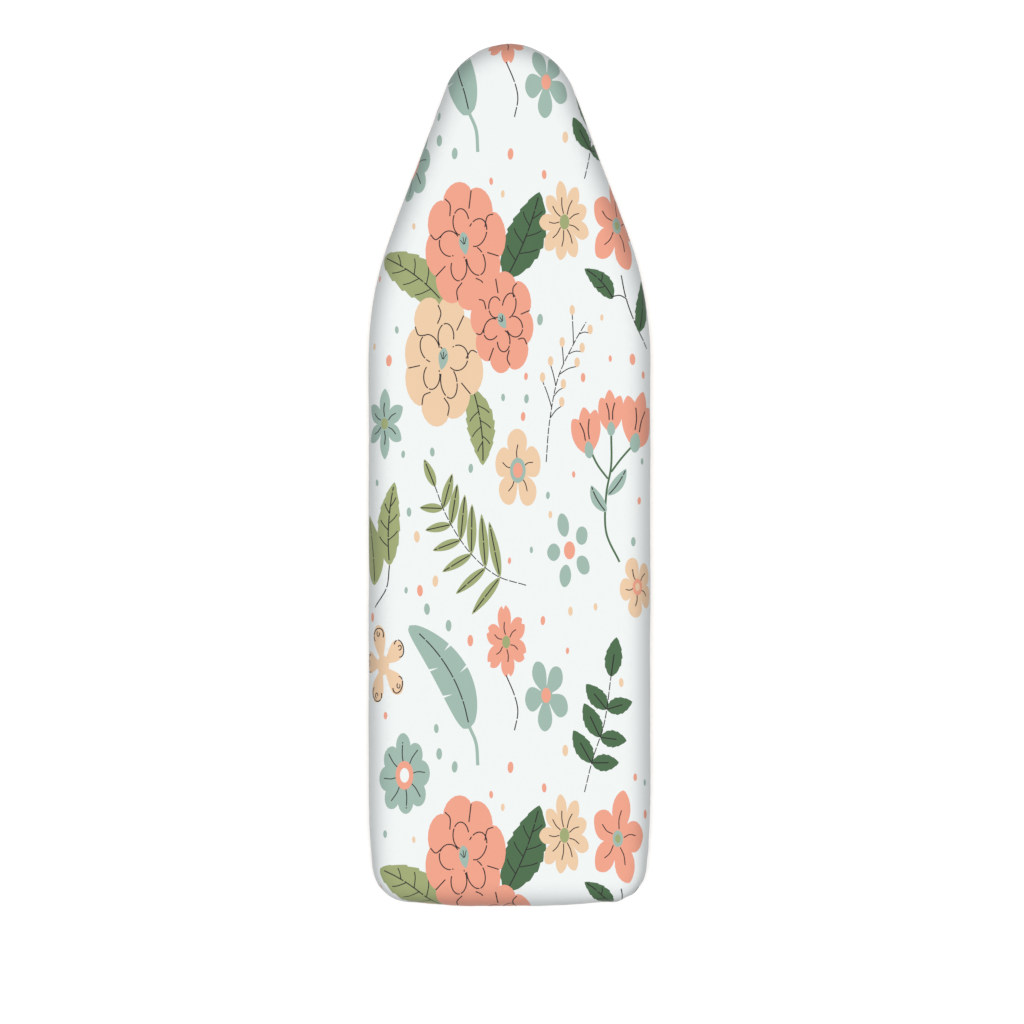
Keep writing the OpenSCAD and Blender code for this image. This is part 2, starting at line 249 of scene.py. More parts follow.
# -------- materials
def cotton(name, colour, pitch=0.42, painted_edge_shade=False):
    """Plain weave: crossing threads, uneven yarn, a soft sheen, and painted shade where the cloth turns down
    over the board's edge.
    """
    weave, mottle = 0.03, 0.05
    tree = new_material(name, colour, 0.86, specular=0.2, sheen=0.12)
    where = tree.place(flat=True)
    x, y, _ = tree.split(where)
    threads = tree.times(tree.wave(x, pitch), tree.wave(y, pitch))
    slub_x = tree.noise(where, 1.0, 2.0, stretch=(2.2, 0.05, 1.0))
    slub_y = tree.noise(where, 1.0, 2.0, stretch=(0.05, 2.2, 1.0))
    slubs = tree.plus(slub_x, slub_y)
    cloud = tree.noise(where, 0.05, 4.0, 0.6)
    tone = tree.plus(tree.times(threads, weave), tree.times(tree.minus(slubs, 1.0), mottle))
    tone = tree.plus(tone, tree.times(tree.minus(cloud, 0.5), mottle * 0.6))
    cloth = tree.mix(tree.plus(tone, 0.5), shade(colour, 0.86), shade(colour, 1.14))
    # painted shade: the colour is multiplied darker where the cloth turns down over the edge, standing in for
    # the shade that the lamps give there
    if painted_edge_shade:
        turned = tree.add("Attribute", attribute_name="turned")["Fac"]
        grey = tree.mix(1.0, cloth, (0.74, 0.745, 0.755), blend="MULTIPLY")
        cloth = tree.mix(turned, cloth, grey)
    tree.set(Base_Color=cloth)
    tree.set(Roughness=tree.spread(slubs, 0.9, 0.8))
    tree.bump(tree.plus(tree.times(threads, 0.5), slubs), 0.16, 0.12)
    return tree.owner


def birch_ply():
    """Sanded birch face with long grain, and ply lines where the surface stands upright."""
    tree = new_material("plywood", (0.72, 0.53, 0.33), 0.55, specular=0.35)
    where = tree.place()
    grain = tree.noise(where, 0.22, 6.0, 0.62, stretch=(1.0, 0.035, 1.0))
    fine = tree.noise(where, 2.0, 3.0, 0.6, stretch=(1.0, 0.02, 1.0))
    face = tree.ramp(grain, (0.3, (0.58, 0.39, 0.21)), (0.5, (0.74, 0.55, 0.34)), (0.72, (0.82, 0.65, 0.44)))
    face = tree.mix(tree.times(fine, 0.25), face, (0.42, 0.27, 0.14))
    plies = tree.wave(tree.split(where)[2], 2.6)
    edge = tree.ramp(tree.spread(plies, 0.0, 1.0), (0.3, (0.36, 0.22, 0.11)), (0.6, (0.72, 0.54, 0.33)))
    up = tree.split(tree.add("NewGeometry")["Normal"])[2]
    level = tree.math("GREATER_THAN", tree.math("ABSOLUTE", up), 0.6)
    tree.set(Base_Color=tree.mix(level, edge, face))
    tree.bump(tree.plus(grain, fine), 0.12, 0.2)
    return tree.owner


def powder_coat(name, colour):
    """Stoved powder on steel: orange-peel bump, faint rubbing towards grey."""
    tree = new_material(name, colour, 0.38, coat=0.15)
    where = tree.place()
    peel = tree.noise(where, 0.9, 2.0, 0.4)
    wear = tree.noise(where, 0.09, 6.0, 0.7)
    tree.set(Base_Color=tree.mix(tree.spread(wear, 0.0, 0.5), colour, shade(colour, 0.84)))
    tree.set(Roughness=tree.spread(wear, 0.3, 0.5))
    tree.bump(peel, 0.12, 0.15)
    return tree.owner


def zinc(colour):
    """Bright zinc plate: soft spangle and fine rolling lines."""
    tree = new_material("zinc_steel", colour, 0.3, metal=1.0)
    where = tree.place()
    tint, gloss, _ = tree.split(tree.cells(where, 0.55)["Color"])
    lines = tree.noise(where, 1.4, 3.0, 0.6, stretch=(1.0, 0.06, 1.0))
    tree.set(Base_Color=tree.mix(tint, shade(colour, 0.95), shade(colour, 1.05)))
    tree.set(Roughness=tree.spread(tree.plus(tree.times(gloss, 0.5), tree.times(lines, 0.5)), 0.28, 0.4))
    tree.bump(lines, 0.05, 0.05)
    return tree.owner


def moulded(name, colour, rough, sheen=0.0):
    """Moulded plastic or rubber with a fine spark-eroded grain."""
    tree = new_material(name, colour, rough, specular=0.4, sheen=sheen)
    where = tree.place()
    fine = tree.noise(where, 1.6, 3.0, 0.6)
    wide = tree.noise(where, 0.12, 4.0, 0.6)
    tree.set(Base_Color=tree.mix(tree.spread(wide, 0.1, 0.7), shade(colour, 0.88), shade(colour, 1.12)))
    tree.set(Roughness=tree.spread(fine, rough - 0.08, rough + 0.1))
    tree.bump(fine, 0.25, 0.12)
    return tree.owner


def open_foam():
    """Open-cell foam: darker, sunken pores."""
    tree = new_material("foam", (0.86, 0.8, 0.62), 0.95, specular=0.1, sheen=0.1)
    pores = tree.cells(tree.place(), 1.3)["Distance"]
    tree.set(Base_Color=tree.ramp(pores, (0.05, (0.9, 0.85, 0.68)), (0.6, (0.74, 0.66, 0.47))))
    tree.bump(tree.times(pores, -1.0), 0.5, 0.4)
    return tree.owner


def needled_felt():
    """Grey needled felt: short fibres and blots of darker wool."""
    tree = new_material("felt", (0.55, 0.55, 0.53), 0.97, specular=0.1, sheen=0.3)
    where = tree.place()
    fibres = tree.noise(where, 0.8, 6.0, 0.75, stretch=(1.0, 0.3, 1.0))
    blots = tree.noise(where, 0.15, 4.0, 0.6)
    base = tree.ramp(fibres, (0.3, (0.34, 0.34, 0.33)), (0.7, (0.68, 0.68, 0.66)))
    tree.set(Base_Color=tree.mix(tree.times(blots, 0.4), base, (0.46, 0.45, 0.42)))
    tree.bump(fibres, 0.5, 0.4)
    return tree.owner


def braided(colour):
    """Braided elastic: crossing diagonal yarns."""
    pitch = 1.1
    tree = new_material("elastic", colour, 0.75, specular=0.25, sheen=0.15)
    along, across, _ = tree.split(tree.place(flat=True))
    first = tree.wave(tree.plus(along, across), pitch)
    second = tree.wave(tree.minus(along, across), pitch)
    yarns = tree.times(first, second)
    tree.set(Base_Color=tree.mix(tree.spread(yarns, 0.0, 1.0), shade(colour, 0.8), colour))
    tree.bump(yarns, 0.5, 0.25)
    return tree.owner


def stitch_thread():
    """Twisted sewing thread."""
    tree = new_material("stitch_thread", (0.78, 0.8, 0.78), 0.6, specular=0.3, sheen=0.2)
    along, across, _ = tree.split(tree.place(flat=True))
    twist = tree.wave(tree.plus(along, across), 0.35)
    tree.set(Base_Color=tree.mix(tree.spread(twist, 0.0, 1.0), (0.6, 0.63, 0.61), (0.84, 0.86, 0.84)))
    tree.bump(twist, 0.4, 0.08)
    return tree.owner


# -------- the board's plan outline
SPANS = (26, 36, 28, 110, 24, 40)  # points on its nose, taper, shoulder, side, corner and heel


def outline(inset, spans=SPANS):
    """The plan outline moved inwards, from nose to heel and back, with as many points at every inset."""
    nose, taper, shoulder, side, corner, heel = spans
    half = []
    for i in range(nose):
        a = pi / 2 - (pi / 2 - TAPER_ANGLE) * i / nose
        r = NOSE_R - inset
        half.append((r * cos(a), NOSE_Y + r * sin(a)))
    for i in range(taper):
        t = i / taper
        half.append(tuple(TAPER_A[k] + (TAPER_B[k] - TAPER_A[k]) * t - inset * TAPER_N[k] for k in (0, 1)))
    for i in range(shoulder):
        a = TAPER_ANGLE * (1 - i / shoulder)
        r = SHOULDER_R - inset
        half.append((SHOULDER_X + r * cos(a), SHOULDER_Y + r * sin(a)))
    low = CORNER_Y if inset <= CORNER_R else HEEL_Y + inset
    for i in range(side):
        half.append((HALF_W - inset, SHOULDER_Y + (low - SHOULDER_Y) * i / side))
    r = max(CORNER_R - inset, 0.0)
    turn = (CORNER_X, CORNER_Y) if r else (HALF_W - inset, HEEL_Y + inset)
    for i in range(corner):
        a = -pi / 2 * i / corner
        half.append((turn[0] + r * cos(a), turn[1] + r * sin(a)))
    for i in range(heel):
        half.append((turn[0] * (1 - i / heel), HEEL_Y + inset))
    half.append((0.0, HEEL_Y + inset))
    return half + [(-x, y) for x, y in reversed(half[1:-1])]


def locate(xy):
    """For each point: how far inside the outline it is, its foot there, the normal there and the way round.

    The way round is 0 at the nose and 1 or -1 at the heel. A heel corner lies between 0.84 and 0.9.
    """
    x, y = np.abs(xy[:, 0]), xy[:, 1]
    sign = np.where(xy[:, 0] < 0, -1.0, 1.0)
    found = np.zeros((5, len(xy)))  # the foot's x and y, the normal's, and the run up to there
    best = np.full(len(xy), np.inf)
    inset = np.zeros(len(xy))

    def offer(*place):
        fx, fy, nx, ny, _ = place
        distance = np.hypot(x - fx, y - fy)
        better = distance < best - 1e-9
        side = (x - fx) * nx + (y - fy) * ny
        best[better] = distance[better]
        inset[better] = -np.copysign(distance, side)[better]
        found[:, better] = np.array(place)[:, better]

    run = 0.0
    for piece in (
        ("arc", 0.0, NOSE_Y, NOSE_R, pi / 2, TAPER_ANGLE),
        ("line", TAPER_A, TAPER_B, TAPER_N),
        ("arc", SHOULDER_X, SHOULDER_Y, SHOULDER_R, TAPER_ANGLE, 0.0),
        ("line", (HALF_W, SHOULDER_Y), (HALF_W, CORNER_Y), (1.0, 0.0)),
        ("arc", CORNER_X, CORNER_Y, CORNER_R, 0.0, -pi / 2),
        ("line", (CORNER_X, HEEL_Y), (0.0, HEEL_Y), (0.0, -1.0)),
    ):
        if piece[0] == "arc":
            _, cx, cy, r, first, last = piece
            a = np.clip(np.arctan2(y - cy, x - cx), last, first)
            offer(cx + r * np.cos(a), cy + r * np.sin(a), np.cos(a), np.sin(a), run + r * (first - a))
            run += r * (first - last)
        else:
            _, p, q, n = piece
            length = dist(p, q)
            dx, dy = (q[0] - p[0]) / length, (q[1] - p[1]) / length
            t = np.clip((x - p[0]) * dx + (y - p[1]) * dy, 0, length)
            offer(p[0] + dx * t, p[1] + dy * t, np.full(len(x), n[0]), np.full(len(x), n[1]), run + t)
            run += length
    found[[0, 2, 4]] *= sign
    return inset, found[0:2].T, found[2:4].T, found[4] / run


# -------- how the cloth lies
random.seed(5)


def wave_terms(fewest, most):
    """Waves of several lengths, each as its count round the board, its phase and its height."""
    return [(k, random.uniform(0, tau), random.uniform(0.4, 1.0)) for k in range(fewest, most, 2)]


GATHERS = wave_terms(52, 118)
SWELLS = wave_terms(5, 26)


def waves(way, terms):
    """A sum of waves that meets itself after one turn round the board, about -1 to 1."""
    angle = way * pi
    total = sum(height * np.cos(k * angle + phase) for k, phase, height in terms)
    return total / sqrt(sum(height * height for _, _, height in terms) / 2) / 1.8


def smooth(value, low, high):
    """0 up to low, 1 from high, and an even change between them."""
    share = np.clip((value - low) / (high - low), 0, 1)
    return share * share * (3 - 2 * share)


def hump(value, middle, width):
    """1 at its middle, falling off on both sides."""
    return np.exp(-(((value - middle) / width) ** 2))


def slackness(way):
    """Where the cloth gathers: at the heel corners and round the nose."""
    far = np.abs(way)
    corner = hump(far, 0.885, 0.05)
    nose = hump(far, 0.0, 0.09) * 0.7
    heel = smooth(far, 0.86, 0.95) * 0.55
    return 0.16 + np.maximum(np.maximum(corner, nose), heel)


def drawn_in(way):
    """How far the elastic draws the pad's rim in, most at the heel corners."""
    far = np.abs(way)
    corner = 3.0 * hump(far, 0.86, 0.038) + 2.0 * hump(far, 0.91, 0.035)
    return 0.25 + corner + 0.3 * smooth(far, 0.9, 0.96)


CROWN, CROWN_FADE = 0.55, 16.0  # how far the top falls away at its rim, and how fast that fades inwards
GATHER_SIDE, GATHER_UNDER = 0.22, 0.95  # height of the gathers on the cover's side, and more under it
SWELL = 0.4  # height of the long waves
SAG = 0.5  # how far slack cloth hangs off the pad
CLOSEST = 0.6  # how far a hollow may sink towards the pad


def fold(xy):
    """Points of the flat cut, carried over the pad's rounded edge and under the board."""
    inset, foot, normal, way = locate(xy)
    # how far along the cloth from where it starts to bend, and what of that lies on each stretch
    run = np.clip(EDGE_R - inset, 0, REACH)
    upper = np.clip(run / EDGE_R, 0, pi / 2)
    side = np.clip(run - ARC_TOP, 0, EDGE_SIDE)
    lower = np.clip((run - ARC_TOP - EDGE_SIDE) / LOWER_R, 0, pi / 2)
    below = np.clip(run - ARC_TOP - EDGE_SIDE - ARC_LOW, 0, None)
    inwards = EDGE_R * (1 - np.sin(upper)) + LOWER_R * (1 - np.cos(lower)) + below
    crown = CROWN * np.exp(-np.clip(inset, 0, None) / CROWN_FADE) * (1 - smooth(run, 10, 21))
    z = COVER_TOP - crown - EDGE_R * (1 - np.cos(upper)) - side - LOWER_R * np.sin(lower)
    # how far the cloth stands off that, along the way it faces
    out = np.where(lower > 0, np.cos(lower), np.sin(upper))
    up = np.where(lower > 0, -np.sin(lower), np.cos(upper))
    slack = slackness(way)
    gather = GATHER_SIDE * smooth(run, 9, 20) + GATHER_UNDER * smooth(run, 20, 34)
    lift = waves(way, GATHERS) * slack * gather
    lift += waves(way, SWELLS) * (0.25 + slack) * SWELL * smooth(run, 6, 22)
    lift += SAG * smooth(run, 20, 30) * slack
    lift = np.maximum(lift, -CLOSEST)
    inwards += drawn_in(way) * smooth(run, 3, 17) - lift * out
    flat = inset >= EDGE_R
    position = np.empty((len(xy), 3))
    position[:, :2] = np.where(flat[:, None], xy, foot - normal * inwards[:, None])
    position[:, 2] = np.where(flat, COVER_TOP - crown, z + lift * up)
    return position


def cloth_normals(xy, step=0.3):
    """Normals of the folded cloth itself, so that the print's thin triangles don't show in its shading."""
    across = fold(xy + (step, 0.0)) - fold(xy - (step, 0.0))
    along = fold(xy + (0.0, step)) - fold(xy - (0.0, step))
    normal = np.cross(across, along)
    return normal / np.maximum(np.linalg.norm(normal, axis=1), 1e-9)[:, None]


# -------- the print, drawn flat
INK, CORAL, PEACH, SAGE, GREEN, OLIVE = "ink", "coral", "peach", "sage", "green", "olive"
CLOTH = "ground"
TILE_Y = 368.0  # the print repeats along the board at this length
REPEATS = (-TILE_Y, 0.0, TILE_Y)
NARROW = 0.62  # motifs are drawn round, then narrowed across the board
PEN, FINE_PEN = 0.7, 0.6
VEINS = ((0.22, 1), (0.3, -1), (0.42, 1), (0.5, -1), (0.62, 1), (0.7, -1))
HAND = random.Random(3)
drawn = []


def area_of(ring):
    """Signed area: positive where the ring runs anticlockwise."""
    return sum(x * v - u * y for (x, y), (u, v) in zip(ring, ring[1:] + ring[:1])) / 2


def put(colour, points):
    """Draws one filled shape over those before it."""
    ring = [(float(x), float(y)) for x, y in points]
    drawn.append((colour, ring if area_of(ring) > 0 else ring[::-1]))


def curve(points, step=0.8):
    """A smooth line through the points, as a list of points about step apart."""
    p = [Vector(q) for q in points]
    p = [2 * p[0] - p[1]] + p + [2 * p[-1] - p[-2]]
    line = []
    for k in range(1, len(p) - 2):
        count = max(2, int((p[k + 1] - p[k]).length / step))
        for i in range(count):
            t = i / count
            line.append(
                0.5 * (2 * p[k] + (p[k + 1] - p[k - 1]) * t
                       + (2 * p[k - 1] - 5 * p[k] + 4 * p[k + 1] - p[k + 2]) * t * t
                       + (3 * p[k] - p[k - 1] - 3 * p[k + 1] + p[k + 2]) * t ** 3)
            )
    return line + [p[-2]]


def stroke(points, width=PEN, dash=13.0, gap=0.4, colour=INK):
    """A drawn line with short breaks, as a pen leaves; dash 0 is unbroken."""
    line = curve(points)
    runs, run, length, pen = [], [line[0]], 0.0, True
    for p, q in zip(line, line[1:]):
        length += (q - p).length
        if pen:
            run.append(q)
        if dash and length > (dash if pen else gap):
            if pen:
                runs.append(run)
            pen, length, run = not pen, 0.0, [q]
    if pen and len(run) > 1:
        runs.append(run)
    for run in runs:
        left, right = [], []
        for i, p in enumerate(run):
            along = run[min(i + 1, len(run) - 1)] - run[max(i - 1, 0)]
            if along.length < 1e-6:
                continue
            across = Vector((-along.y, along.x)).normalized() * width / 2
            left.append(p + across)
            right.append(p - across)
        if len(left) > 1:
            put(colour, left + right[::-1])


class Motif:
    """Draws in a motif's own round coordinates, turned, and narrowed across the board like all the print."""

    def __init__(self, x, y, turn=0.0):
        self.x, self.y, self.turn = x, y, turn

    def at(self, angle, along, across=0.0):
        """The place on the cloth of a point that far along a ray at the angle, and that far to its left."""
        a = radians(angle + self.turn)
        u = along * cos(a) - across * sin(a)
        v = along * sin(a) + across * cos(a)
        return Vector((self.x + u * NARROW, self.y + v))

    def oval(self, colour, angle, along, long, wide, count=26):
        turns = [tau * i / count for i in range(count)]
        put(colour, [self.at(angle, along + long * cos(a), wide * sin(a)) for a in turns])

    def petal(self, colour, angle, near, far, width, swell=1.4, blunt=0.5, cut=0.0, count=12):
        """swell over 1 puts the widest part near the tip, blunt 1 is pointed, and cut notches the tip."""
        angle += HAND.uniform(-2.5, 2.5)
        far *= HAND.uniform(0.97, 1.03)
        width *= HAND.uniform(0.93, 1.07)
        left, right = [], []
        for i in range(count + 1):
            u = (1 - cos(pi * i / count)) / 2
            half = width / 2 * max(sin(pi * u ** swell), 0.0) ** blunt
            reach = near + (far - near) * (u - cut if i == count else u)
            left.append(self.at(angle, reach, half))
            right.append(self.at(angle, reach, -half))
        put(colour, left + right[::-1][1:-1])

    def line(self, *points, width=PEN):
        stroke([self.at(*p) for p in points], width)

    def ring(self, angle, along, long, wide, start=0.0, sweep=360.0, width=PEN):
        """An inked oval, or the part of one that starts and sweeps that far, in degrees from the ray."""
        turns = [radians(start + sweep * i / 16) for i in range(17)]
        stroke([self.at(angle, along + long * cos(a), wide * sin(a)) for a in turns], width)


def leaf(colour, base, tip, width, bow=0.0, teeth=0, veins=(), slits=(), rib=(0.06, 0.94), full=0.75):
    """A leaf on a bowed rib, with a scalloped edge or slits, and inked rib and veins.

    veins and slits are pairs of a share of the rib and a side, and rib is the inked part of it.
    """
    start = Vector(base)
    along = Vector(tip) - start
    side = Vector((-along.y, along.x)).normalized()
    steps = 40

    def rib_at(u):
        return start + along * u + side * bow * 4 * u * (1 - u)

    def edge(u, which):
        half = width / 2 * max(sin(pi * u ** 0.85), 0.0) ** full
        if teeth:
            half *= 0.9 + 0.13 * (1 - (u * teeth + (0.5 if which < 0 else 0.0)) % 1.0)
        return rib_at(u) + side * which * half

    sides = []
    for which in (1, -1):
        points = []
        for i in range(steps + 1):
            u = i / steps
            for at, on in slits:
                if on == which and abs(u - at) < 0.504 / steps:
                    points.append(edge(u - 0.02, which))
                    points.append(rib_at(u - 0.03) * 0.55 + edge(u - 0.03, which) * 0.45)
            points.append(edge(u, which))
        sides.append(points)
    put(colour, sides[0] + sides[1][::-1][1:-1])
    stroke([rib_at(rib[0] + (rib[1] - rib[0]) * k / 6) for k in range(7)])
    for u, which in veins:
        foot = rib_at(u)
        end = edge(min(u + 0.15, 0.97), which)
        middle = (foot + end) / 2 - along.normalized() * 0.6
        stroke([foot, middle, foot * 0.22 + end * 0.78], FINE_PEN)


def blossom(colour, x, y, size, turn=0.0):
    """A full flower: scalloped petals with inked seams, five folded ones within, and a small sage heart."""
    motif = Motif(x, y, turn)
    motif.oval(colour, 0, 0, size * 0.8, size * 0.8, count=40)
    for k in range(8):
        motif.petal(colour, 45 * k, 0, size * (1.0, 0.93, 0.97)[k % 3], size * 0.68, swell=2.2, blunt=0.52)
    for k in range(8):
        way, bend = 45 * k + 22, size * 0.05 * (k % 3 - 1)
        motif.line((way, size * 0.56, bend), (way, size * 0.7, -bend), (way, size * 0.84, 0))
    for k in range(5):
        long, first = size * (0.25, 0.2)[k % 2], -140 + 50 * (k % 2)
        motif.ring(72 * k + 20, size * 0.36, long, size * 0.19, start=first, sweep=255)
    motif.petal(SAGE, 90, size * -0.15, size * 0.2, size * 0.22, swell=1.25, blunt=0.6)
    for lean in (60, 95, 130):
        motif.line((lean, size * 0.02), (lean, size * 0.08), (lean, size * 0.13), width=0.5)


def flower(colour, x, y, size, count, width, eyes=(), turn=0.0, near=0.0, seam=0.0, curled=False, **shape):
    """A single flower. eyes are discs of (colour, radius), seam is how far out its petals are inked."""
    motif = Motif(x, y, turn)
    ways = [90 + 360 * k / count for k in range(count)]
    for k, way in enumerate(ways):
        motif.petal(colour, way, near, size * (1.0, 0.92, 0.97)[k % 3], width, **shape)
    for k, way in enumerate(ways):
        if seam:
            middle = (way, size * (0.2 + seam) / 2, width * 0.07)
            motif.line((way, size * 0.2), middle, (way, size * seam), width=FINE_PEN)
        if curled:
            motif.ring(way, size * 0.74, size * 0.17, width * 0.42, start=-125, sweep=250)
            motif.ring(way, size * 0.78, size * 0.06, size * 0.055, start=50 * k, sweep=290, width=FINE_PEN)
    for eye, radius in eyes:
        motif.oval(eye, 0, 0, radius, radius)


def beside(line, share, reach, lean):
    """Where a side shoot starts, at a share of the stem's length, and where it ends, leaning off the stem."""
    k = min(int(share * (len(line) - 1)), len(line) - 2)
    step = line[k + 1] - line[k]
    way = degrees(atan2(step.y, step.x / NARROW))
    return line[k], Motif(*line[k]).at(way + lean, reach)


def frond(colour, points, pairs, reach, width, first=0.08, lean=48, taper=0.5, **look):
    """Leaflets in pairs along a bowed stalk, and one at its tip."""
    line = curve(points)
    for k in range(pairs):
        share = first + (0.96 - first) * k / pairs
        for side in (1, -1):
            leaf(colour, *beside(line, share, reach * (1 - taper * share), lean * side), width, **look)
    leaf(colour, *beside(line, 1.0, reach * (1 - taper), 0), width, **look)
    stroke(points, FINE_PEN, 4.5, 0.5)


def berry_branch(rib, twigs, reach):
    """Thin twigs on alternate sides, each with a berry."""
    line = curve(rib)
    stroke(rib, FINE_PEN, 4.0, 0.7)
    for k in range(twigs):
        length, lean = reach * (0.75, 1.0, 0.6)[k % 3], (-44, 44)[k % 2]
        foot, end = beside(line, 0.3 + 0.68 * k / twigs, length, lean)
        stroke([foot, (foot + end) / 2 + Vector((0.0, 1.0)), end], FINE_PEN)
        Motif(*end).oval(PEACH, 90, 2.4, 3.0, 2.6, count=18)


def tulip(colour, x, y, size, turn=0.0):
    """Three petals rising from a small cup."""
    motif = Motif(x, y, turn)
    for lean in (27, -27, 0):
        far = size * (0.92 if lean else 1.0)
        motif.petal(colour, 90 + lean, 0, far, size * 0.52, swell=1.1, blunt=0.6)
    for lean in (13, -13):
        motif.line((90 + lean, size * 0.3), (90 + lean * 0.7, size * 0.5), (90 + lean, size * 0.72))
    motif.petal(SAGE, 90, size * -0.1, size * 0.26, size * 0.3, swell=0.9, blunt=0.6)


def covered(x, y):
    """Whether a place lies on something drawn, in this repeat or its neighbours."""
    for _, ring in drawn:
        for shift in REPEATS:
            v = y + shift
            crossings = 0
            for (ax, ay), (bx, by) in zip(ring, ring[1:] + ring[:1]):
                crossings += (ay > v) != (by > v) and x < (bx - ax) * (v - ay) / (by - ay) + ax
            if crossings % 2:
                return True
    return False


def scatter_dots(count, clear):
    """Small ovals strewn at random, clear of the motifs and of each other."""
    tries = 4000
    chance = random.Random(12)
    busy = np.array([p for _, ring in drawn for p in ring])
    busy = np.vstack([busy + (0, shift) for shift in REPEATS])
    dots = []
    for _ in range(tries):
        x, y = chance.uniform(-HALF_W, HALF_W), chance.uniform(-TILE_Y / 2, TILE_Y / 2)
        if len(dots) == count:
            break
        if any(hypot((x - u) / NARROW, y - v) < clear * 1.7 for u, v in dots):
            continue
        if np.hypot((busy[:, 0] - x) / NARROW, busy[:, 1] - y).min() < clear or covered(x, y):
            continue
        dots.append((x, y))
    for k, (x, y) in enumerate(dots):
        size = (2.3, 2.8, 2.0, 3.5)[k % 4]
        colour = (CORAL, SAGE, PEACH, CORAL, SAGE)[k % 5]
        Motif(x, y).oval(colour, 80 + 10 * (k % 3), 0, size, size * 0.8, count=16)


def draw_print():
    """One repeat of a plain botanical print, in mm on the board's plan: flowers, leaves, sprigs and dots."""
    # a bunch of three full flowers over three leaves
    leaf(OLIVE, (-40, 104), (-78, 132), 24, bow=-3, teeth=6, full=0.6, veins=VEINS)
    leaf(OLIVE, (-22, 52), (-16, 6), 17, bow=2, teeth=7, veins=VEINS)
    leaf(GREEN, (-2, 118), (18, 170), 24, bow=-2, teeth=8, veins=VEINS)
    blossom(PEACH, -40, 69, 40, turn=-14)
    blossom(CORAL, -27, 138, 40, turn=12)
    blossom(CORAL, -4, 92, 32, turn=38)
    # single flowers
    round_flower = {"count": 5, "swell": 1.8, "seam": 0.62}
    flower(PEACH, 5, 3, 25, width=18, eyes=((SAGE, 7.6), (CORAL, 4.6)), **round_flower)
    flower(PEACH, 77, -67, 19, width=13.5, eyes=((CORAL, 5.0), (PEACH, 2.4)), turn=25, **round_flower)
    flower(PEACH, 33, 152, 25, 9, 11, eyes=((OLIVE, 4.6),), turn=10, swell=1.8, blunt=0.6, seam=0.6)
    flower(PEACH, -76, -114, 25, 5, 13, eyes=((PEACH, 6.0),), turn=15, swell=2.0, blunt=0.6, curled=True)
    flower(CORAL, -2, -100, 22, 6, 13, eyes=((OLIVE, 3.8),), turn=8, swell=1.6, cut=0.12, seam=0.55)
    flower(CORAL, 65, -218, 29, 5, 18, eyes=((SAGE, 5.0), (OLIVE, 2.6)), turn=-12, swell=1.3, blunt=0.62,
           seam=0.6)
    flower(SAGE, 36, -45, 23, 5, 11, eyes=((CORAL, 5.4),), turn=20, near=9.0, swell=1.0)
    flower(SAGE, -63, -180, 25, 8, 15, eyes=((CORAL, 8.6), (CLOTH, 4.4)), turn=5, swell=1.8, seam=0.8)
    flower(SAGE, -75, 31, 21, 6, 10, eyes=((OLIVE, 3.4),), swell=1.2, blunt=0.7, seam=0.6)
    flower(SAGE, 22, 236, 23, 5, 14, eyes=((SAGE, 6.0), (CORAL, 4.6)), turn=30, swell=1.7, blunt=0.55)
    # stalks and leaves of the single flowers
    stroke([(67, -248), (70, -262), (76, -278), (84, -292)])
    stroke([(-2, -120), (3, -132), (5, -142), (3, -153)])
    leaf(GREEN, (62, 106), (45, 124), 11, bow=-2, teeth=6, veins=((0.35, 1), (0.5, -1)))
    leaf(GREEN, (78, 86), (83, 118), 11, bow=-1, teeth=6)
    stroke([(61, 107), (66, 108), (70, 106)])
    # a slit leaf on its stalk, and toothed leaves at the side
    leaf(SAGE, (-24, -152), (-60, -90), 21, bow=-7, full=0.5, rib=(0.05, 0.9),
         slits=((0.35, 1), (0.6, 1), (0.475, -1), (0.7, -1)))
    stroke([(-24, -151), (-20, -161), (-19, -174)], 1.9, 0, colour=SAGE)
    leaf(OLIVE, (-72, -54), (-69, -4), 14, bow=2, teeth=6, veins=VEINS)
    leaf(OLIVE, (-82, -66), (-88, -24), 15, bow=-1.5)
    stroke([(-72, -54), (-74, -68), (-82, -80)])
    # a fern, a dark sprig and a branch of berries
    frond(OLIVE, [(10, -66), (-8, -60), (-24, -46), (-37, -26), (-45, -6)], 6, 39, 5.8, first=0.2, lean=56)
    frond(GREEN, [(45, -190), (50, -170), (57, -148), (61, -120)], 3, 27, 10.5, first=0.25, lean=66,
          taper=0.1, teeth=5, rib=(0.02, 0.62))
    berry_branch([(22, 8), (24, 32), (29, 58), (38, 78), (46, 92)], 9, 18)
    # tulips on a green branch
    for stem in ([(66, -52), (58, -34), (58, -12), (61, 6), (61, 26)], [(59, -2), (53, 6), (49, 14)],
                 [(61, 2), (67, 10), (74, 18)]):
        stroke(stem, 1.2, 0, colour=GREEN)
    tulip(CORAL, 48, 13, 29, turn=14)
    tulip(CORAL, 75, 17, 34, turn=-16)
    tulip(CORAL, 61, 26, 25, turn=2)
    leaf(SAGE, (59, -12), (70, 4), 7, bow=-1)
    leaf(SAGE, (58, -22), (49, -6), 7, bow=1)
    scatter_dots(54, 6.5)


